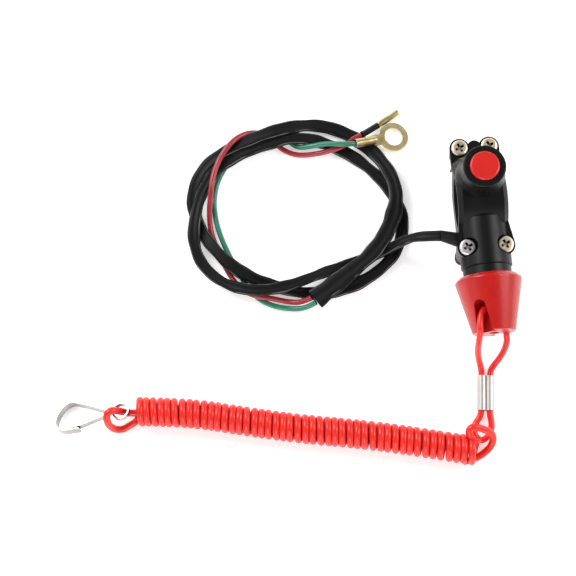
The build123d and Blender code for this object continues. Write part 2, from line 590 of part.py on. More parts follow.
# Spigot of the barrel
SPIGOT_END_Y = BARREL_END_Y - SPIGOT_LENGTH
BORE_END_Y = SPIGOT_END_Y + NOSE_WALL
with BuildPart() as tether_barrel:
    for start, end, radius in ((ROOT_START_Y, BARREL_END_Y, CAVITY_R - ROOT_CLEARANCE),
                               (BARREL_END_Y, SPIGOT_END_Y, SPIGOT_R)):
        with BuildSketch(across_y(start)):
            Circle(radius)
        extrude(amount=start - end)
    fillet(tether_barrel.faces().sort_by(Axis.Y)[0].edges(), BOSS_ROUND)
    for start, end, radius in ((ROOT_START_Y, SHOULDER_Y, SPRING_BORE_R),
                               (SHOULDER_Y, BORE_END_Y, PLUNGER_BORE_R),
                               (BORE_END_Y, SPIGOT_END_Y, NOSE_HOLE_R)):
        with BuildSketch(across_y(start)):
            Circle(radius)
        extrude(amount=start - end, mode=Mode.SUBTRACT)
finish(tether_barrel, "tether_barrel")

# Plug behind the spigot, with the two contact tags that hook over the disc
TAG_HOOK_Y = PLUNGER_STEM_END_Y - PLUNGER_TRAVEL - TAG_REST_GAP
with BuildPart() as terminal_plug:
    with BuildSketch(across_y(ROOT_START_Y + PLUG_T)):
        Circle(CAVITY_R - PLUG_FIT)
        with Locations((-TAG_X, 0), (TAG_X, 0)):
            Rectangle(TAG_T + 2 * PIN_FIT, TAG_WIDTH + 2 * PIN_FIT, mode=Mode.SUBTRACT)
    extrude(amount=PLUG_T)
finish(terminal_plug, "terminal_plug")

with BuildPart() as tether_terminals:
    with BuildSketch(Plane.XY.offset(BARREL_Z)):
        for side in (-1, 1):
            outer = side * (TAG_X + TAG_T / 2)
            inner = side * (TAG_X - TAG_T / 2)
            tip = side * (TAG_X - TAG_T / 2 - TAG_HOOK)
            Polygon((outer, ROOT_START_Y + PLUG_T + TAG_TAIL), (outer, TAG_HOOK_Y - TAG_T),
                    (tip, TAG_HOOK_Y - TAG_T), (tip, TAG_HOOK_Y), (inner, TAG_HOOK_Y),
                    (inner, ROOT_START_Y + PLUG_T + TAG_TAIL), align=None)
    extrude(amount=TAG_WIDTH / 2, both=True)
finish(tether_terminals, "tether_terminals")

# Plunger, its contact disc and spring
FLANGE_FRONT_Y = FLANGE_BACK_Y - PLUNGER_FLANGE_T
with BuildPart() as tether_plunger:
    for start, end, radius in ((PLUNGER_STEM_END_Y, FLANGE_BACK_Y, PLUNGER_STEM_R),
                               (FLANGE_BACK_Y, FLANGE_FRONT_Y, SPRING_BORE_R - PLUNGER_FIT),
                               (FLANGE_FRONT_Y, NOSE_TIP_Y + NOSE_LENGTH, PLUNGER_BORE_R - PLUNGER_FIT),
                               (NOSE_TIP_Y + NOSE_LENGTH, NOSE_TIP_Y, NOSE_HOLE_R - PLUNGER_FIT)):
        with BuildSketch(across_y(start)):
            Circle(radius)
        extrude(amount=start - end)
    fillet(tether_plunger.faces().sort_by(Axis.Y)[0].edges(), BOSS_ROUND)
finish(tether_plunger, "tether_plunger")

with BuildPart() as plunger_contact:
    with BuildSketch(across_y(PLUNGER_STEM_END_Y + DISC_T)):
        Circle(DISC_R)
    extrude(amount=DISC_T)
finish(plunger_contact, "plunger_contact")

PLUNGER_SPRING_TURNS = 4
plunger_spring = coil_spring((0, ROOT_START_Y, BARREL_Z), (0, -1, 0), PLUNGER_SPRING_R,
                             PLUNGER_SPRING_WIRE, ROOT_START_Y - FLANGE_BACK_Y, PLUNGER_SPRING_TURNS)
finish(plunger_spring, "plunger_spring")

# Wires inside: two from the button down the channel to the plug, two from the lead to the plug
WIRE_ARC_R = BORE_R + CHANNEL_DEPTH / 2
ARC_ANGLES = (95, 109, 123, 137, 151, 163)
with BuildPart() as jumper_wires:
    for side in (-0.5, 0.5):
        x = -WIRE_CHANNEL_X + side * INNER_WIRE_STEP
        stops = [(x, FLOOR_HOLE_Y, CARRIER_TOP_Z), (x, FLOOR_HOLE_Y - WIRE_DROP[0], WIRE_ARC_R - WIRE_DROP[1])]
        stops += [(x, WIRE_ARC_R * math.cos(math.radians(angle)),
                   WIRE_ARC_R * math.sin(math.radians(angle))) for angle in ARC_ANGLES]
        stops += [(x, CAVITY_Y + WIRE_SETTLE[0], BARREL_Z),
                  (x, CAVITY_Y - WIRE_SETTLE[0], BARREL_Z - WIRE_SETTLE[1])]
        with BuildLine() as route:
            FilletPolyline(*stops, radius=arc_radii(stops))
        with BuildSketch(Plane(origin=stops[0], z_dir=route.line % 0)):
            Circle(INNER_WIRE_D / 2)
        sweep(path=route.wires()[0])
    for side in (-1, 1):
        with BuildSketch(across_x(BOOT_ROOT_END_X, CABLE_Y, BARREL_Z)):
            with Locations((0, side * INNER_WIRE_STEP / 2)):
                Circle(INNER_WIRE_D / 2)
        extrude(amount=TAIL_LENGTH)
finish(jumper_wires, "jumper_wires")

# Cable boot
BOOT_TIP_HEADING = Vector(*SHEATH_POINTS[1]) - Vector(*SHEATH_POINTS[0])
with BuildPart() as cable_boot:
    with BuildSketch(across_x(BOOT_BASE_X, CABLE_Y, BARREL_Z)):
        Ellipse(*BOOT_RADII)
    with BuildSketch(Plane(origin=SHEATH_POINTS[0], x_dir=(0, 1, 0), z_dir=-BOOT_TIP_HEADING)):
        Circle(BOOT_TIP_R)
    loft()
    with BuildSketch(across_x(BOOT_BASE_X, CABLE_Y, BARREL_Z)):
        Circle(BOOT_ROOT_R)
    extrude(amount=BOOT_ROOT_END_X - BOOT_BASE_X)
finish(cable_boot, "cable_boot")

# Lead: flattened sheath, two wires, the short sleeve, ring terminal and bullet terminal
lead_sheath = cord_tube("lead_sheath", SHEATH_POINTS, SHEATH_R)
green_wire = cord_tube("green_wire", GREEN_POINTS, LEAD_WIRE_R)
red_wire = cord_tube("red_wire", RED_POINTS, LEAD_WIRE_R)
wire_sleeve = cord_tube("wire_sleeve", SLEEVE_POINTS, SLEEVE_R)

heading = math.radians(RING_HEADING)
pitch = math.radians(RING_PITCH)
RING_PLANE = Plane(origin=RING_CENTRE,
                   x_dir=(math.cos(pitch) * math.cos(heading), math.cos(pitch) * math.sin(heading),
                          -math.sin(pitch)),
                   z_dir=(math.sin(pitch) * math.cos(heading), math.sin(pitch) * math.sin(heading),
                          math.cos(pitch)))
CRIMP_END = CRIMP_START + CRIMP_LENGTH
CRIMP_PLANE = Plane(origin=RING_PLANE.from_local_coords(Vector(CRIMP_START, 0, 0)),
                    x_dir=RING_PLANE.y_dir, z_dir=RING_PLANE.x_dir)
with BuildPart() as ring_terminal:
    with BuildSketch(RING_PLANE):
        Circle(RING_R)
        with Locations((CRIMP_END, 0)):
            Rectangle(-CRIMP_END, TONGUE_WIDTH, align=(Align.MIN, Align.CENTER))
        Circle(RING_HOLE_D / 2, mode=Mode.SUBTRACT)
    extrude(amount=STRIP_T / 2, both=True)
    with BuildSketch(CRIMP_PLANE):
        with Locations((0, CRIMP_RISE)):
            Circle(CRIMP_R)
    extrude(amount=CRIMP_LENGTH + STRIP_T)
    with BuildSketch(CRIMP_PLANE):
        with Locations((0, CRIMP_RISE)):
            Circle(CRIMP_BORE_R)
    extrude(amount=CRIMP_LENGTH, mode=Mode.SUBTRACT)
finish(ring_terminal, "ring_terminal")

bullet_heading = Vector(*BULLET_END) - Vector(*BULLET_START)
with BuildPart() as bullet_terminal:
    with BuildSketch(Plane(origin=BULLET_START, z_dir=bullet_heading)):
        Circle(BULLET_RADII[0])
    with BuildSketch(Plane(origin=BULLET_END, z_dir=bullet_heading)):
        Circle(BULLET_RADII[1])
    loft()
    with BuildSketch(Plane(origin=BULLET_END, z_dir=bullet_heading)):
        Circle(BULLET_BORE_R)
    extrude(amount=-BULLET_BORE_DEPTH, mode=Mode.SUBTRACT)
finish(bullet_terminal, "bullet_terminal")

# Release cap
CAP_BORE_R = SPIGOT_R + CAP_BORE_CLEARANCE
CAP_FLOOR_Y = SPIGOT_END_Y - CAP_FLOOR_GAP
SLOT_TOP_Y = CAP_FLOOR_Y - SLOT_WALL
SLOT_RUN = SLOT_TOP_Y - SLOT_TOP_R - CAP_FOOT_Y + SLOT_WALL
CORD_HOLE_Y = SLOT_TOP_Y - SLOT_TOP_R
slot_turn = math.radians(SLOT_ANGLE)
with BuildPart() as release_cap:
    with BuildSketch(Plane.XY.offset(BARREL_Z)):
        Polygon((0, CAP_RIM_Y), (CAP_RIM_R - CAP_SHOULDER, CAP_RIM_Y),
                (CAP_RIM_R, CAP_RIM_Y - CAP_SHOULDER), (CAP_FOOT_R, CAP_FOOT_Y), (0, CAP_FOOT_Y),
                align=None)
    revolve(axis=Axis((0, 0, BARREL_Z), (0, 1, 0)))
    fillet(release_cap.edges().filter_by(GeomType.CIRCLE), CAP_EDGE_ROUND)
    with BuildSketch(across_y(CAP_RIM_Y)):
        Circle(CAP_BORE_R)
    extrude(amount=CAP_RIM_Y - CAP_FLOOR_Y, mode=Mode.SUBTRACT)
    with BuildSketch(across_y(NOSE_TIP_Y - CAP_POST_GAP)):
        Circle(CAP_POST_R)
    extrude(amount=NOSE_TIP_Y - CAP_POST_GAP - CAP_FLOOR_Y)
    for side in (1, -1):
        outward = Vector(-math.sin(slot_turn) * side, 0, math.cos(slot_turn) * side)
        slot_plane = Plane(origin=Vector(0, SLOT_TOP_Y - SLOT_TOP_R, BARREL_Z) + outward * SLOT_FLOOR,
                           x_dir=(0, 1, 0), z_dir=outward)
        with BuildSketch(slot_plane):
            Circle(SLOT_TOP_R)
            Polygon((0, SLOT_TOP_R), (0, -SLOT_TOP_R), (-SLOT_RUN, -SLOT_FOOT_WIDTH / 2),
                    (-SLOT_RUN, SLOT_FOOT_WIDTH / 2), align=None)
        extrude(amount=2 * CAP_RIM_R, mode=Mode.SUBTRACT)
    with BuildSketch(Plane(origin=(0, CORD_HOLE_Y, BARREL_Z),
                           z_dir=(-math.sin(slot_turn), 0, math.cos(slot_turn)))):
        Circle(CORD_HOLE_R)
    extrude(amount=CAP_FOOT_R, both=True, mode=Mode.SUBTRACT)
    with BuildSketch(across_y(CAP_FOOT_Y)):
        Circle(FOOT_HOLE_R)
    extrude(amount=-FOOT_HOLE_DEPTH, mode=Mode.SUBTRACT)
finish(release_cap, "release_cap")

# Tether loop and its ferrule
tether_loop = cord_tube("tether_loop", TETHER_POINTS, TETHER_R)

ferrule_heading = Vector(*FERRULE_FOOT) - Vector(*FERRULE_TOP)
FERRULE_PLANE = Plane(origin=FERRULE_TOP, x_dir=(0, 0, 1), z_dir=ferrule_heading)
with BuildPart() as ferrule:
    with BuildSketch(FERRULE_PLANE):
        with Locations((0, -FERRULE_LOBE_OFFSET), (0, FERRULE_LOBE_OFFSET)):
            Circle(FERRULE_LOBE_R)
        with Locations((0, -FERRULE_LOBE_OFFSET), (0, FERRULE_LOBE_OFFSET)):
            Circle(FERRULE_HOLE_R, mode=Mode.SUBTRACT)
    extrude(amount=ferrule_heading.length)
finish(ferrule, "ferrule")

# Curly cord: a plain tube where it is coiled, its wide last turn and its eye
coil_cord = cord_tube("coil_cord", COIL_POINTS, COIL_R)
coil_last_turn = cord_tube("coil_last_turn", LAST_TURN_POINTS, COIL_CORD_R)
coil_eye = cord_tube("coil_eye", EYE_POINTS, EYE_CORD_R)

# Snap hook and its gate, folded from flat strip
hook_pitch = math.radians(HOOK_PITCH)
hook_roll = math.radians(HOOK_ROLL)
HOOK_PLANE = Plane(origin=HOOK_ORIGIN,
                   x_dir=(math.cos(hook_pitch), 0, math.sin(hook_pitch)),
                   z_dir=(-math.sin(hook_pitch) * math.cos(hook_roll), math.sin(hook_roll),
                          math.cos(hook_pitch) * math.cos(hook_roll)))


def strip_route(points):
    """The middle line of a bent strip in the hook's plane."""
    return FilletPolyline(*points, radius=arc_radii([(x, y, 0) for x, y in points]))


HOOK_ROUTE = strip_route(HOOK_OUTLINE)
GATE_ROUTE = strip_route(GATE_OUTLINE)
with BuildPart() as snap_hook:
    with BuildSketch(HOOK_PLANE):
        trace(HOOK_ROUTE.edges(), line_width=HOOK_STRIP[1])
    extrude(amount=HOOK_STRIP[0] / 2, both=True)
    with BuildSketch(HOOK_PLANE):
        with Locations(HOOK_EYE_CENTRE):
            Circle(HOOK_EYE_R)
            Circle(HOOK_EYE_R - HOOK_EYE_T, mode=Mode.SUBTRACT)
    extrude(amount=HOOK_EYE_WIDTH / 2, both=True)
finish(snap_hook, "snap_hook")

with BuildPart() as hook_gate:
    with BuildSketch(HOOK_PLANE):
        trace(GATE_ROUTE.edges(), line_width=GATE_STRIP[1])
    extrude(amount=GATE_STRIP[0] / 2, both=True)
finish(hook_gate, "hook_gate")

gate_axis = HOOK_PLANE.z_dir
pivot = HOOK_PLANE.from_local_coords(Vector(GATE_PIVOT[0], GATE_PIVOT[1], 0))
print("gate pivot", tuple(round(value, 3) for value in pivot), "axis",
      tuple(round(value, 4) for value in gate_axis))
print("ring plane", tuple(round(value, 4) for value in RING_PLANE.z_dir))
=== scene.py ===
# %% [markdown]
# # An engine kill switch with its lanyard
# A red button and a pull-off red cap sit on a small black clamp that fits a handlebar.
# A flattened two-wire lead lies in loops on the left, and a curly orange cord runs to a snap hook.
# The solids come in first. They fix every size, so all that follows only dresses them.

import bmesh
import bpy
import numpy as np
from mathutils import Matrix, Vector


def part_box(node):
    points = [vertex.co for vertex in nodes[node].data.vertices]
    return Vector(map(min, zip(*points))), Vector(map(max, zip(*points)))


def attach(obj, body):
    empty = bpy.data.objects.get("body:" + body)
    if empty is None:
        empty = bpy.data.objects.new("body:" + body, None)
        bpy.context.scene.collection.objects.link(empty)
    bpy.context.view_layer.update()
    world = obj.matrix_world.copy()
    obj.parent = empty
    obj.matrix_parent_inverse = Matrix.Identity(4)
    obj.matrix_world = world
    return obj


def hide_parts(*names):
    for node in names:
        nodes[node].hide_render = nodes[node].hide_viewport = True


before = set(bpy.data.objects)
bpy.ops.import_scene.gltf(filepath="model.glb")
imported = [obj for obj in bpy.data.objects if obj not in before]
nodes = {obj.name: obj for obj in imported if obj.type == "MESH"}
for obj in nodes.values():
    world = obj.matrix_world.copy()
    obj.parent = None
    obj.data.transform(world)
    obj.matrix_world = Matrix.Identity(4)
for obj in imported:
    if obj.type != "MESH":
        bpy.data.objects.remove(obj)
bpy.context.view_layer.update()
MM = 0.001
TABLE_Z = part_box("rear_clamp")[0].z
print("solids:", len(nodes), "table at", round(TABLE_Z / MM, 2), "mm")

# %% [markdown]
# ## Camera
# The picture looks almost straight down, from a little in front and a little to the left.
# A long lens keeps the outline flat, so the camera stands half a metre away.

# %% Aim the camera
VIEW_TURN = np.radians(-4.8)
VIEW_HEIGHT = np.radians(78.0)
VIEW_DISTANCE = 493 * MM
VIEW_CENTRE = Vector((-67.7, -21.9, -14.5)) * MM
LENS = 87.5
SENSOR_WIDTH = 36
NEAREST_SEEN = 10 * MM

back = Vector((np.sin(VIEW_TURN) * np.cos(VIEW_HEIGHT), -np.cos(VIEW_TURN) * np.cos(VIEW_HEIGHT),
               np.sin(VIEW_HEIGHT)))
camera = bpy.data.objects.new("camera", bpy.data.cameras.new("camera"))
bpy.context.scene.collection.objects.link(camera)
camera.location = VIEW_CENTRE + back * VIEW_DISTANCE
camera.rotation_mode = "QUATERNION"
camera.rotation_quaternion = (-back).to_track_quat("-Z", "Y")
camera.data.lens = LENS
camera.data.sensor_width = SENSOR_WIDTH
camera.data.clip_start = NEAREST_SEEN
bpy.context.scene.camera = camera
print("camera at", [round(value, 3) for value in camera.location])

# %% [markdown]
# ## Table and light
# A white sweep lies under everything. Broad lights leave long soft streaks on black plastic, and a
# surround that is bright low down and dark overhead fills the shadows without greying the blacks.


# %% Lights and surround
def link(name, data):
    """A new object in the scene for a mesh, a curve or a light."""
    thing = bpy.data.objects.new(name, data)
    bpy.context.scene.collection.objects.link(thing)
    return thing


def soft_light(name, place, size, power):
    """A square panel of light at a place in millimetres from the centre of the picture, aimed at it."""
    lamp = bpy.data.lights.new(name, "AREA")
    lamp.size = size * MM
    lamp.energy = power
    panel = link(name, lamp)
    panel.location = VIEW_CENTRE + Vector(place) * MM
    panel.rotation_mode = "QUATERNION"
    panel.rotation_quaternion = (VIEW_CENTRE - panel.location).to_track_quat("-Z", "Y")


def set_stops(ramp, stops):
    """Give a colour ramp its stops, each a place from 0 to 1 and a colour."""
    while len(ramp.elements) < len(stops):
        ramp.elements.new(1)
    for element, (place, colour) in zip(ramp.elements, stops):
        element.position = place
        element.color = (*colour, 1)


soft_light("key", (-300, 300, 420), 300, 2.2)
soft_light("fill", (420, 40, 330), 240, 1.1)
soft_light("front", (-60, -460, 260), 240, 0.9)

SURROUND_GREYS = [(0, 0.55), (0.35, 0.9), (0.6, 0.42), (0.85, 0.16), (1, 0.1)]
world = bpy.data.worlds.new("surround")
world.use_nodes = True
web = world.node_tree
direction = web.nodes.new("ShaderNodeTexCoord")
height = web.nodes.new("ShaderNodeSeparateXYZ")
shades = web.nodes.new("ShaderNodeValToRGB")
set_stops(shades.color_ramp, [(place, (grey,) * 3) for place, grey in SURROUND_GREYS])
web.links.new(direction.outputs["Generated"], height.inputs[0])
web.links.new(height.outputs["Z"], shades.inputs["Fac"])
web.links.new(shades.outputs["Color"], web.nodes["Background"].inputs["Color"])
bpy.context.scene.world = world
bpy.context.scene.view_settings.view_transform = "Standard"

# %% Lay the table
TABLE_HALF = 1.4
TABLE_DROP = 0.02 * MM
table_corners = np.array([(-1, -1), (1, -1), (1, 1), (-1, 1)]) * TABLE_HALF
table_mesh = bpy.data.meshes.new("table")
table_mesh.from_pydata([(x, y, TABLE_Z - TABLE_DROP) for x, y in table_corners], [], [(0, 1, 2, 3)])
table = link("table", table_mesh)

# %% [markdown]
# ## Writing materials as sums
# A finish is easier to read as a sum than as a web of nodes. One small class stands for the output
# of a node, and adding or multiplying it adds the node that does so.


# %% Sums of node outputs
class Level:
    """A number that changes over a surface, taken from one output of a material's nodes."""

    def __init__(self, finish, socket):
        self.finish = finish
        self.socket = socket

    def math(self, operation, other):
        """This level and another term through one Math node."""
        return self.finish.node("ShaderNodeMath", {"operation": operation}, {0: self, 1: other})

    def __add__(self, other):
        return self.math("ADD", other)

    def __mul__(self, other):
        return self.math("MULTIPLY", other)

    __radd__ = __add__
    __rmul__ = __mul__


class Finish:
    """A material in the making, with the surface shader last."""

    def __init__(self, name):
        self.material = bpy.data.materials.new(name)
        self.material.use_nodes = True
        self.tree = self.material.node_tree
        self.tree.nodes.clear()
        self.place = self.node("ShaderNodeTexCoord", output="Object")

    def node(self, kind, settings=None, sockets=None, output=0):
        """Add a node, set it up, fill its sockets with values or links, and return one output."""
        made = self.tree.nodes.new(kind)
        for setting, value in (settings or {}).items():
            if setting == "stops":
                set_stops(made.color_ramp, value)
            else:
                setattr(made, setting, value)
        for socket, value in (sockets or {}).items():
            if isinstance(value, Level):
                self.tree.links.new(value.socket, made.inputs[socket])
            elif value is not None:
                made.inputs[socket].default_value = value
        return Level(self, made.outputs[output]) if made.outputs else made

    def noise(self, grain, detail=3, stretch=(1, 1, 1), place=None):
        """Noise whose features are about a grain long, in metres."""
        spread = self.node("ShaderNodeMapping", {"vector_type": "POINT"},
                           {"Vector": place or self.place, "Scale": stretch})
        return self.node("ShaderNodeTexNoise", None,
                         {"Vector": spread, "Scale": 1 / grain, "Detail": detail}, "Fac")

    def ramp(self, level, stops):
        """A colour for each value of a level."""
        return self.node("ShaderNodeValToRGB", {"stops": stops}, {"Fac": level}, "Color")

    def blend(self, share, first, second):
        """Two colours mixed by a level."""
        def rgba(colour):
            return colour if isinstance(colour, Level) else (*colour, 1)
        return self.node("ShaderNodeMix", {"data_type": "RGBA"},
                         {0: share, 6: rgba(first), 7: rgba(second)}, 2)

    def bump(self, height, depth):
        """A normal from a height that is depth metres from its low to its high."""
        return self.node("ShaderNodeBump", None, {"Height": height, "Strength": 1.0, "Distance": depth})

    def surface(self, **sockets):
        """The shader, with sockets named by words joined with underscores."""
        named = {word.replace("_", " "): value for word, value in sockets.items()}
        shader = self.node("ShaderNodeBsdfPrincipled", None, named)
        self.node("ShaderNodeOutputMaterial", None, {"Surface": shader})
        return self.material


# %% [markdown]
# ## The table's paper
# White paper with the faintest mottle on a light table, whose glow leaves hardly any shadow.

# %% Paper
TABLE_GLOW = 0.5
paper = Finish("white_paper")
paper_tone = paper.ramp(paper.noise(60 * MM), [(0, (0.93, 0.93, 0.93)), (1, (0.96, 0.96, 0.96))])
table.data.materials.append(paper.surface(Base_Color=paper_tone, Roughness=0.9, Specular_IOR_Level=0.1,
                                          Emission_Color=paper_tone, Emission_Strength=TABLE_GLOW))

# %% [markdown]
# ## Black plastics
# The clamp is moulded nylon with a fine spark-eroded skin: nearly black, satin, and lighter where the
# skin is rubbed. The lead's sheath is smoother vinyl with long drawn streaks, and the boot is duller.


# %% Moulded nylon, rubber and vinyl sheath
WEAR_PATCH = 6 * MM
WEAR_LIGHTER = 1.5
WEAR_SHARE = 0.6


def moulded_black(name, tone, low, high, grain, depth):
    """Satin black plastic with a fine cast grain and broad patches of wear."""
    finish = Finish(name)
    patches = finish.noise(WEAR_PATCH)
    skin = finish.noise(grain, detail=2)
    colour = finish.blend(patches, tone, [WEAR_LIGHTER * part for part in tone])
    rough = low + (high - low) * (patches * WEAR_SHARE + skin * (1 - WEAR_SHARE))
    return finish.surface(Base_Color=colour, Roughness=rough, Normal=finish.bump(skin, depth),
                          Specular_IOR_Level=0.28)


nylon = moulded_black("black_nylon", (0.0035, 0.0035, 0.0038), 0.28, 0.46, 0.35 * MM, 0.012 * MM)
rubber = moulded_black("black_rubber", (0.004, 0.004, 0.004), 0.45, 0.65, 0.25 * MM, 0.02 * MM)

# Places around the cord, half width and grey of the two painted highlight lines along the folds.
FOLD_SHEEN_PLACES = (0.09, 0.41)
FOLD_SHEEN_HALF = 0.026
FOLD_SHEEN_GREY = (0.24, 0.24, 0.23)
SHEATH_BLACK = (0.004, 0.004, 0.0043)


def vinyl_sheath():
    """Soft black vinyl, drawn lengthwise: streaks and two painted highlight lines along the folds run along
    the cord's own map.
    """
    finish = Finish("black_vinyl")
    along = finish.node("ShaderNodeUVMap", {"uv_map": "UVMap"}, output="UV")
    streaks = finish.noise(1.0, detail=3, stretch=(60, 14, 1), place=along)
    patches = finish.noise(9 * MM)
    around = finish.node("ShaderNodeSeparateXYZ", None, {0: along}, "Y")
    # Painted highlight: two pale grey lines on the upper side near each edge, where the folds would catch
    # light, shown in patches by the scuff noise.
    fold_sheen = finish.ramp(around, [(place + step, (shade,) * 3) for place in FOLD_SHEEN_PLACES
                                 for step, shade in ((-FOLD_SHEEN_HALF, 0), (0, 1), (FOLD_SHEEN_HALF, 0))])
    scuffs = finish.ramp(finish.noise(7 * MM), [(0.42, (0, 0, 0)), (0.6, (1, 1, 1))])
    colour = finish.blend(fold_sheen * scuffs, SHEATH_BLACK, FOLD_SHEEN_GREY)
    return finish.surface(Base_Color=colour, Roughness=0.34 + 0.25 * patches + 0.08 * streaks,
                          Normal=finish.bump(streaks + 2 * patches, 0.08 * MM), Specular_IOR_Level=0.22)


sheath_vinyl = vinyl_sheath()

# %% [markdown]
# ## Reds, green and orange
# Vinyl lets light in a little way and glows at its edges. A touch of scattering under a clear gloss
# gives that, with slow changes of tone where the dye is uneven.


# %% Coloured plastics
DYE_PATCH = 5 * MM
SKIN_GRAIN = 0.5 * MM
SKIN_DEPTH = 0.01 * MM
SCATTER_RADII = (1.0, 0.25, 0.15)
SCATTER_REACH = 1.0 * MM


def dyed(name, dark, light, glow, rough, gloss=0.3):
    """Dyed plastic: uneven dye, light scattered just under the skin, and a soft gloss."""
    finish = Finish(name)
    patches = finish.noise(DYE_PATCH)
    skin = finish.noise(SKIN_GRAIN, detail=2)
    return finish.surface(Base_Color=finish.blend(patches, dark, light), Roughness=rough + 0.12 * skin,
                          Normal=finish.bump(skin, SKIN_DEPTH), Subsurface_Weight=glow,
                          Subsurface_Radius=SCATTER_RADII, Subsurface_Scale=SCATTER_REACH,
                          Coat_Weight=gloss, Coat_Roughness=0.12)


orange_vinyl = dyed("orange_vinyl", (0.76, 0.014, 0.008), (0.90, 0.026, 0.014), 0.2, 0.32, gloss=0.15)
cap_vinyl = dyed("cap_vinyl", (0.46, 0.007, 0.007), (0.60, 0.014, 0.011), 0.25, 0.24, gloss=0.2)
button_red = dyed("button_red", (0.58, 0.010, 0.008), (0.68, 0.018, 0.012), 0.1, 0.30, gloss=0.15)
green_vinyl = dyed("green_vinyl", (0.016, 0.17, 0.10), (0.03, 0.27, 0.17), 0.1, 0.30)
red_vinyl = dyed("red_vinyl", (0.30, 0.012, 0.022), (0.42, 0.02, 0.035), 0.15, 0.30)

# %% [markdown]
# ## Metals
# Three screws are pale gold zinc and one is bright zinc. The terminals are pale brass rolled in one
# direction, the hook is bright nickel with fine draw marks, and the ferrule is satin nickel.


# %% Plated and rolled metals
# How far the painted shade in recesses reaches, and its dark brown.
SHADE_PAINT_REACH = 1.2 * MM
PAINTED_SHADE_BROWN = (0.05, 0.025, 0.012)


def plated(name, stops, rough, patch, marks=(1, 1, 6), depth=0.002 * MM):
    """Metal whose plating drifts in colour, with draw marks one way, small scuffs, and painted shade
    darkening its corners and recesses.
    """
    finish = Finish(name)
    bloom = finish.noise(patch, detail=2)
    drawn = finish.noise(0.8 * MM, detail=4, stretch=marks)
    scuffs = finish.noise(1.7 * MM, detail=5)
    # Painted shade: where ambient occlusion finds the surface hemmed in, a dark brown is mixed into the
    # colour.
    open_sky = finish.node("ShaderNodeAmbientOcclusion", {"samples": 8}, {"Distance": SHADE_PAINT_REACH}, "AO")
    painted_shade = finish.ramp(open_sky, [(0.45, (1, 1, 1)), (0.85, (0, 0, 0))])
    return finish.surface(Base_Color=finish.blend(painted_shade, finish.ramp(bloom, stops), PAINTED_SHADE_BROWN), Metallic=1.0,
                          Roughness=rough + 0.14 * drawn + 0.1 * scuffs,
                          Normal=finish.bump(drawn * 0.7 + scuffs * 0.3, depth))


gold_zinc = plated("gold_zinc", [(0.3, (0.85, 0.66, 0.40)), (0.5, (0.95, 0.84, 0.64)),
                                 (0.7, (0.92, 0.78, 0.62))], 0.30, 2.2 * MM)
bright_zinc = plated("bright_zinc", [(0.3, (0.82, 0.82, 0.84)), (0.7, (0.95, 0.95, 0.94))], 0.28, 2.5 * MM)
nickel = plated("nickel", [(0.3, (0.38, 0.36, 0.34)), (0.7, (0.52, 0.50, 0.48))], 0.15, 4 * MM,
                depth=0.0003 * MM)
satin_nickel = plated("satin_nickel", [(0.3, (0.60, 0.57, 0.55)), (0.7, (0.70, 0.67, 0.65))], 0.38, 6 * MM,
                      depth=0)
pale_brass = plated("pale_brass", [(0.3, (0.60, 0.45, 0.19)), (0.5, (0.78, 0.64, 0.33)),
                                   (0.7, (0.86, 0.76, 0.50))], 0.2, 3 * MM, marks=(1, 5, 1))


# %% [markdown]
# ## Softer edges on the moulded solids
# The solids arrive as loose triangles. A copy of each is welded, its flat faces are joined, and its
# edges get a small round, because an edge that catches no light looks like paper.


# %% Rounded copies of solids
WELD_REACH = 0.002 * MM
FLAT_TURN = np.radians(0.5)
CORNER_TURN = np.radians(32)
CORNER_STEPS = 2


def rounded(node, material, slot, body, edge):
    """A welded copy of a solid whose corners get a narrow round, standing in for the solid."""
    shape = bmesh.new()
    shape.from_mesh(nodes[node].data)
    bmesh.ops.remove_doubles(shape, verts=shape.verts, dist=WELD_REACH)
    bmesh.ops.dissolve_limit(shape, angle_limit=FLAT_TURN, verts=shape.verts, edges=shape.edges)
    mesh = bpy.data.meshes.new(node + "_finished")
    shape.to_mesh(mesh)
    shape.free()
    mesh.shade_smooth()
    piece = link(node + "_finished", mesh)
    bevel = piece.modifiers.new("edge", "BEVEL")
    bevel.width = edge * MM
    bevel.segments = CORNER_STEPS
    bevel.limit_method = "ANGLE"
    bevel.angle_limit = CORNER_TURN
    bevel.use_clamp_overlap = True
    shading = piece.modifiers.new("shading", "WEIGHTED_NORMAL")
    shading.keep_sharp = False
    mesh.materials.clear()
    mesh.materials.append(material)
    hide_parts(node)
    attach(piece, body)
    print(piece.name, len(mesh.vertices), "corners")
    return piece


# Each solid with its finish, its slot, its body and the round of its edges in millimetres.
DRESSED = [
    ("front_housing", nylon, "black_plastic", "switch", 0.25),
    ("rear_clamp", nylon, "black_plastic", "switch", 0.25),
    ("clamp_screws", gold_zinc, "gold_zinc", "switch", 0.06),
    ("clamp_screw_silver", bright_zinc, "bright_steel", "switch", 0.06),
    ("stop_button", button_red, "red_button_plastic", "button", 0.1),
    ("release_cap", cap_vinyl, "red_cap_plastic", "key", 0.3),
    ("cable_boot", rubber, "black_rubber", "switch", 0.15),
    ("snap_hook", nickel, "nickel", "key", 0.12),
    ("hook_gate", nickel, "nickel", "gate", 0.1),
    ("ring_terminal", pale_brass, "terminal_brass", "switch", 0.12),
    ("bullet_terminal", pale_brass, "terminal_brass", "switch", 0.1),
    ("ferrule", satin_nickel, "nickel", "key", 0.15),
]
dressed = {node: rounded(node, *rest) for node, *rest in DRESSED}

# %% [markdown]
# ## The inner pieces
# Nobody sees the contacts, springs and plunger while the switch is whole, and they are right as solids.
# They only take their finishes, apart from the button's spring, which is also made shorter.

# %% Finish the inner pieces
INNER = {
    nylon: ("contact_carrier", "tether_barrel", "terminal_plug", "tether_plunger"),
    pale_brass: ("button_terminals", "button_contact", "tether_terminals", "plunger_contact"),
    bright_zinc: ("button_spring", "plunger_spring"),
    green_vinyl: ("jumper_wires",),
}
for material, names in INNER.items():
    for name in names:
        nodes[name].data.materials.clear()
        nodes[name].data.materials.append(material)

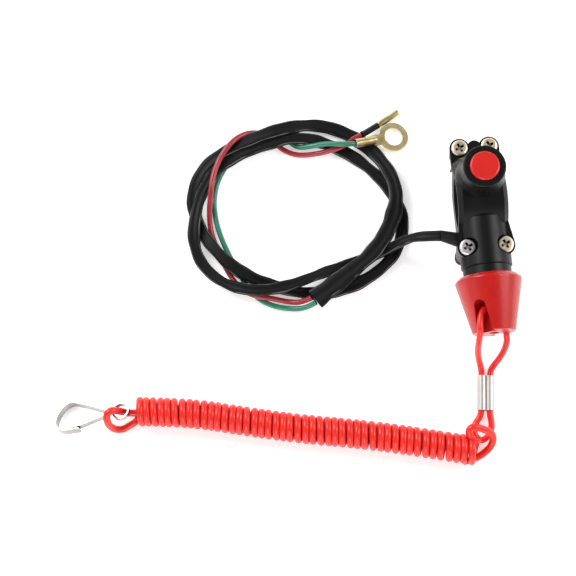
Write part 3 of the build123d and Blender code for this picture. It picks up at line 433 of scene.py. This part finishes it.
# %% Shorten the button's spring
# It is drawn at its pressed length. At its rest length, as a stiff piece, it would come out through
# the face of the pressed button.
BUTTON_TRAVEL = 2.5 * MM
spring_mesh = nodes["button_spring"].data.copy()
spring_places = np.empty(len(spring_mesh.vertices) * 3)
spring_mesh.vertices.foreach_get("co", spring_places)
spring_places = spring_places.reshape(-1, 3)
foot, top = spring_places[:, 2].min(), spring_places[:, 2].max()
spring_places[:, 2] = foot + (spring_places[:, 2] - foot) * (top - foot - BUTTON_TRAVEL) / (top - foot)
spring_mesh.vertices.foreach_set("co", spring_places.ravel())
pressed_spring = link("button_spring_pressed", spring_mesh)
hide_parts("button_spring")
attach(pressed_spring, "switch")

# %% [markdown]
# ## Cords as smooth lines
# A cord follows a route of given points, in millimetres. The points pull a smooth
# quadratic line towards them without its touching them, which is how a soft cord lies.


# %% Routes
QUADRATIC = 3
SMOOTH_STEPS = 12


def smooth_curve(name, points, steps=SMOOTH_STEPS):
    """A curve of one quadratic spline that starts and ends on the route's first and last points."""
    curve = bpy.data.curves.new(name, "CURVE")
    curve.dimensions = "3D"
    spline = curve.splines.new("NURBS")
    spline.points.add(len(points) - 1)
    for target, place in zip(spline.points, points):
        target.co = (*(np.array(place) * MM), 1)
    spline.order_u = QUADRATIC
    spline.use_endpoint_u = True
    curve.resolution_u = steps
    return curve


def line_of(curve):
    """Places along a curve without thickness, one row each, and the distance run at each."""
    holder = link("measure", curve)
    mesh = bpy.data.meshes.new_from_object(holder)
    places = np.empty(len(mesh.vertices) * 3)
    mesh.vertices.foreach_get("co", places)
    places = places.reshape(-1, 3)
    bpy.data.objects.remove(holder)
    bpy.data.meshes.remove(mesh)
    run = np.concatenate([[0], np.cumsum(np.linalg.norm(np.diff(places, axis=0), axis=1))])
    return places, run


def even_line(places, run, count):
    """A line read again at evenly spaced distances."""
    wanted = np.linspace(0, run[-1], count)
    return np.stack([np.interp(wanted, run, places[:, axis]) for axis in range(3)], axis=1)


def round_cord(name, points, radius, material, body, stands_for, sides=5, steps=SMOOTH_STEPS):
    """A round cord: its curve with a thickness, standing in for its solids."""
    curve = smooth_curve(name, points, steps)
    length = line_of(curve)[1][-1]
    curve.bevel_depth = radius
    curve.bevel_resolution = sides
    curve.use_fill_caps = True
    curve.materials.append(material)
    cord = link(name, curve)
    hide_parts(*stands_for)
    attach(cord, body)
    print(name, "is", round(length / MM, 1), "mm long")
    return cord, length


# %% [markdown]
# ## The two wires and their sleeve
# Both leave the sheath's cut end, lie side by side in the loop, and part at the terminals.
# The red one ends in a short shrunk sleeve over its bullet terminal.

# %% Green wire, red wire and sleeve
GREEN_POINTS = [
    (-58.5, -28.9, -9.5), (-62.0, -30.3, -11.2), (-67.0, -29.8, -13.4), (-73.0, -28.4, -13.4),
    (-78.3, -25.4, -13.4), (-82.0, -20.5, -13.4), (-84.8, -14.8, -13.4), (-87.4, -8.8, -13.4),
    (-89.8, -2.3, -13.4), (-91.3, 4.5, -13.4), (-91.5, 11.5, -13.4), (-89.8, 18.5, -13.4),
    (-85.7, 24.8, -13.4), (-80.5, 30.5, -13.4), (-75.0, 35.2, -13.4), (-68.5, 35.8, -13.4),
    (-63.8, 32.5, -13.4), (-60.3, 28.7, -13.0), (-55.5, 28.0, -10.4), (-49.5, 28.2, -8.9),
    (-44.0, 26.9, -7.4), (-39.78, 27.23, -8.82)]
RED_POINTS = [
    (-59.9, -27.1, -9.5), (-63.3, -28.2, -11.2), (-68.0, -27.2, -13.2), (-73.5, -25.6, -12.4),
    (-79.0, -24.8, -10.9), (-84.0, -21.8, -12.2), (-87.3, -16.8, -13.4), (-89.8, -11.2, -13.4),
    (-91.8, -5.3, -13.4), (-93.4, 1.0, -13.0), (-93.2, 7.5, -11.0), (-92.0, 13.5, -7.8),
    (-90.8, 19.5, -7.5), (-88.0, 25.5, -7.5), (-83.5, 31.0, -7.2), (-78.8, 34.4, -9.4),
    (-73.8, 35.2, -11.2), (-69.2, 32.8, -12.6), (-66.0, 28.8, -13.4), (-60.8, 26.0, -13.4),
    (-54.5, 25.6, -12.6), (-48.5, 25.9, -10.9), (-42.5, 27.4, -10.0), (-39.8, 29.8, -10.35),
    (-37.0, 30.7, -10.45)]
SLEEVE_POINTS = [(-36.8, 30.85, -10.5), (-33.7, 32.6, -11.7), (-30.6, 34.6, -12.75)]
WIRE_R = 0.95 * MM
SLEEVE_R = 1.15 * MM

green_wire, green_length = round_cord("green_wire_cord", GREEN_POINTS, WIRE_R, green_vinyl,
                                      "switch", ["green_wire"])
red_wire, red_length = round_cord("red_wire_cord", RED_POINTS, WIRE_R, red_vinyl,
                                  "switch", ["red_wire"])
sleeve, _ = round_cord("shrunk_sleeve", SLEEVE_POINTS, SLEEVE_R, sheath_vinyl,
                       "switch", ["wire_sleeve"])

# %% [markdown]
# ## The flattened sheath
# The lead's sheath is a flat vinyl tube over two wires: wide and thin, with a fold along each edge and a
# shallow valley between the wires. It is a profile carried along the route, and it rolls over a little
# where the loop bends. It is narrow in the boot and flattest at its cut end.

# %% Sheath route
SHEATH_POINTS = [
    (-14.5, -12.3, 5.0), (-19.5, -11.7, 4.0), (-23.5, -11.1, 1.0), (-27.0, -10.9, -4.0),
    (-30.5, -11.5, -9.4), (-35.0, -13.0, -12.6), (-42.5, -14.6, -13.0), (-51.5, -17.0, -12.3),
    (-60.5, -20.2, -9.8), (-70.0, -22.9, -9.2), (-80.5, -23.3, -8.6), (-91.0, -19.0, -10.6),
    (-98.0, -11.0, -10.9), (-99.6, -2.0, -9.4), (-97.8, 7.0, -9.2), (-95.0, 15.0, -10.5),
    (-89.5, 22.5, -10.6), (-80.5, 27.6, -10.5), (-69.5, 30.4, -10.4), (-59.0, 32.0, -10.6),
    (-49.0, 29.2, -13.0), (-39.5, 23.2, -12.9), (-31.5, 15.0, -13.0), (-26.0, 5.5, -12.9),
    (-25.0, -4.5, -13.0), (-29.0, -13.5, -12.9), (-37.5, -20.5, -13.0), (-48.0, -24.5, -12.9),
    (-58.5, -25.5, -13.0), (-68.5, -22.8, -12.9), (-78.0, -19.2, -12.0), (-86.5, -13.8, -10.3),
    (-93.0, -6.0, -10.8), (-97.5, 2.5, -13.0), (-99.0, 12.0, -12.6), (-96.0, 21.0, -10.6),
    (-88.0, 28.0, -10.4), (-77.5, 31.7, -9.5), (-66.0, 34.8, -8.8), (-54.5, 36.8, -11.9),
    (-44.0, 34.0, -13.0), (-34.5, 27.0, -13.0), (-28.5, 17.5, -11.2), (-26.3, 7.5, -9.3),
    (-29.5, -3.0, -8.9), (-36.0, -12.5, -8.6), (-46.5, -19.8, -9.2), (-58.7, -27.8, -9.5)]
sheath_places, sheath_run = line_of(smooth_curve("sheath_route", SHEATH_POINTS))


# %% Carry a profile along a line
def grid_mesh(name, grid):
    """A closed mesh from a grid of places, rows along the piece and columns around it, with its map.

    Neighbours in the grid make one face each, the last column joins the first, and each end is capped.
    """
    rows, columns = grid.shape[:2]
    index = np.arange(rows * columns).reshape(rows, columns)
    around = np.roll(index, -1, axis=1)
    faces = np.stack([index[:-1], around[:-1], around[1:], index[1:]], axis=-1).reshape(-1, 4)
    mesh = bpy.data.meshes.new(name)
    caps = [index[0, ::-1].tolist(), index[-1].tolist()]
    mesh.from_pydata(grid.reshape(-1, 3).tolist(), [], faces.tolist() + caps)
    along, across = np.meshgrid(np.linspace(0, 1, rows), np.linspace(0, 1, columns), indexing="ij")
    pairs = np.stack([along.ravel(), across.ravel()], axis=1)
    corners = np.empty(len(mesh.loops), dtype=np.int32)
    mesh.loops.foreach_get("vertex_index", corners)
    layer = mesh.uv_layers.new(name="UVMap")
    layer.data.foreach_set("uv", pairs[corners].ravel())
    mesh.shade_smooth()
    return mesh


def carried(places, wide, high):
    """Places of a profile carried along a line: across is level and square to the line.

    wide and high hold, for each place on the line, the profile's sideways and upward offsets.
    """
    heading = np.gradient(places, axis=0)
    heading /= np.linalg.norm(heading, axis=1, keepdims=True)
    level = np.cross(heading, (0, 0, 1.0))
    level /= np.linalg.norm(level, axis=1, keepdims=True)
    upright = np.cross(level, heading)
    return places[:, None] + wide[..., None] * level[:, None] + high[..., None] * upright[:, None]


# %% Build the sheath
ROUND_COUNT = 44
ROW_COUNT = 900
SHEATH_WIDTHS = [(0, 3.3), (0.05, 3.4), (0.12, 3.9), (0.5, 4.4), (0.85, 4.8), (0.95, 5.8), (1, 7.0)]
SHEATH_HEIGHTS = [(0, 2.8), (0.5, 2.6), (0.9, 2.3), (1, 1.9)]
WAVES = [(31.0, 0.05, 0.4), (13.0, 0.06, 1.9), (57.0, 0.035, 2.6)]
VALLEY_SPREAD = 0.22
VALLEY_DEPTH = 0.2
SIDE_POWER = 0.75
FLAT_POWER = 0.6
ROLLS = [(0, 0), (0.1, 0), (0.3, 8), (0.42, -10), (0.55, 6), (0.75, 10), (0.8, 0), (1, -4)]
SHEATH_LIFT = 0.02 * MM
share = np.linspace(0, 1, ROW_COUNT)[:, None]
turn = np.linspace(0, 2 * np.pi, ROUND_COUNT, endpoint=False)[None, :]
sway = 1 + sum(size * np.sin(2 * np.pi * count * share + start) for count, size, start in WAVES)
width = np.interp(share, *np.array(SHEATH_WIDTHS).T) * sway * MM
height = np.interp(share, *np.array(SHEATH_HEIGHTS).T) * MM
valley = np.exp(-(np.cos(turn) / VALLEY_SPREAD) ** 2)
across = width / 2 * np.sign(np.cos(turn)) * np.abs(np.cos(turn)) ** SIDE_POWER
rise = height / 2 * np.sign(np.sin(turn)) * np.abs(np.sin(turn)) ** FLAT_POWER * (1 - VALLEY_DEPTH * valley)
roll = np.radians(np.interp(share, *np.array(ROLLS).T))
sheath_line = even_line(sheath_places, sheath_run, ROW_COUNT)
sheath_grid = carried(sheath_line, across * np.cos(roll) - rise * np.sin(roll),
                      across * np.sin(roll) + rise * np.cos(roll))
sheath_grid[..., 2] = np.maximum(sheath_grid[..., 2], TABLE_Z + SHEATH_LIFT)
sheath = link("lead_sheath_cord", grid_mesh("lead_sheath_cord", sheath_grid))
sheath.data.materials.append(sheath_vinyl)
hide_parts("lead_sheath")
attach(sheath, "switch")

# %% [markdown]
# ## The tether
# A thinner orange cord goes through the cap and back, both strands are crimped in the ferrule, and the
# lower loop hooks in the curly cord's last turn.

# %% Tether loop
TETHER_POINTS = [
    (-4.07, -64.8, -12.9), (-3.27, -57.6, -12.9), (-3.9, -55.4, -10.9), (-4.8, -53.4, -6.9),
    (-5.5, -51.5, -2.2), (-5.6, -49.3, 4.4), (-5.4, -46.6, 8.4), (-5.2, -43.3, 8.4),
    (-4.2, -40.2, 7.9), (-2.6, -38.75, 6.7), (-1.0, -38.6, 4.5), (1.05, -38.55, 1.5),
    (2.7, -38.75, -0.7), (4.2, -40.4, -1.8), (4.8, -43.2, -1.9), (4.9, -46.4, -1.9),
    (5.2, -49.0, -4.2), (4.5, -51.4, -8.0), (3.0, -53.6, -11.1), (1.0, -55.6, -12.7),
    (-0.66, -57.8, -12.9), (-2.28, -72.2, -12.9), (-1.85, -75.0, -13.2), (-2.2, -77.7, -13.3),
    (-3.6, -80.0, -13.3), (-5.9, -81.2, -13.3), (-7.6, -79.9, -13.3), (-8.4, -77.6, -13.3),
    (-7.6, -75.2, -13.3), (-5.9, -73.4, -13.2), (-4.85, -71.2, -12.9), (-4.105, -65.1, -12.9)]
TETHER_R = 1.1 * MM
tether, tether_length = round_cord("tether_cord", TETHER_POINTS, TETHER_R, orange_vinyl,
                                   "key", ["tether_loop"], sides=6)

# %% [markdown]
# ## The curly cord
# One cord makes it all. It starts inside the coil's left end, loops through the hook's eye, winds
# along the coil, and bends back into the coil's right end as the loop that holds the tether.
# The turns are worked out: a circle that travels along the coil's middle line, fourteen points to a
# turn, with the small unevenness that a relaxed coil shows.

# %% Middle line of the coil and its turns
COIL_POINTS = [
    (-123.2, -61.7, -9.3), (-105.5, -63.4, -9.3), (-87.7, -67.8, -9.3), (-67.8, -72.3, -9.3),
    (-50.3, -75.3, -9.3), (-34.2, -78.6, -9.3), (-13.5, -83.7, -9.3)]
EYE_POINTS = [
    (-124.2, -64.8, -12.1), (-126.1, -65.9, -12.9), (-128.4, -67.0, -13.2), (-131.0, -66.9, -12.4),
    (-132.6, -65.8, -9.4), (-132.9, -64.4, -6.0), (-132.7, -62.4, -4.4), (-131.4, -61.3, -4.4),
    (-129.8, -61.2, -5.6), (-128.2, -61.4, -7.8), (-126.8, -61.6, -10.0), (-125.0, -61.9, -10.8),
    (-123.35, -62.0, -10.9)]
LAST_TURN_POINTS = [
    (-9.8, -81.2, -7.2), (-11.1, -79.3, -5.6), (-11.0, -77.9, -4.7), (-9.9, -77.0, -4.3),
    (-7.9, -77.3, -4.7), (-6.0, -78.0, -5.8), (-3.9, -78.7, -7.5), (-2.4, -80.0, -9.4),
    (-2.4, -81.8, -11.1), (-3.3, -83.5, -12.3), (-4.9, -84.9, -12.9), (-7.0, -86.2, -13.2),
    (-9.1, -87.0, -13.2), (-10.9, -87.5, -13.1), (-12.8, -87.7, -12.6)]
COIL_TIP = (-8.4, -84.8, -9.3)
TURNS = 46.43
PITCH_GROWTH = 0.05
POINTS_PER_TURN = 14
COIL_R = 5.2
COIL_CORD_R = 1.25
START_ANGLE = np.radians(222)
STRAYS = [(0.16, 1.9, 0.0), (0.12, 0.73, 1.0)]
TURN_STEPS = 3

middle, middle_run = line_of(smooth_curve("coil_middle", COIL_POINTS + [COIL_TIP]))
count = int(TURNS * POINTS_PER_TURN)
middle = even_line(middle, middle_run, count) / MM
coil_heading = np.gradient(middle, axis=0)
coil_heading /= np.linalg.norm(coil_heading, axis=1, keepdims=True)
coil_side = np.cross((0, 0, 1.0), coil_heading)
coil_side /= np.linalg.norm(coil_side, axis=1, keepdims=True)
coil_up = np.cross(coil_heading, coil_side)
part_way = np.linspace(0, 1, count)
angle = START_ANGLE + TURNS * 2 * np.pi * part_way * (1 + PITCH_GROWTH * (1 - part_way))
stray = sum(size * np.sin(angle / 2.0 / np.pi * rate + start) for size, rate, start in STRAYS)
turn_r = COIL_R - COIL_CORD_R
turn_line = (middle + turn_r * np.cos(angle)[:, None] * coil_side
             + turn_r * np.sin(angle)[:, None] * coil_up + stray[:, None] * coil_heading)

# %% Build the curly cord
curly_points = EYE_POINTS[::-1][:-1] + turn_line.tolist() + LAST_TURN_POINTS
curly, curly_length = round_cord("curly_cord", curly_points, COIL_CORD_R * MM, orange_vinyl,
                                 "key", ["coil_cord", "coil_last_turn", "coil_eye"], steps=TURN_STEPS)
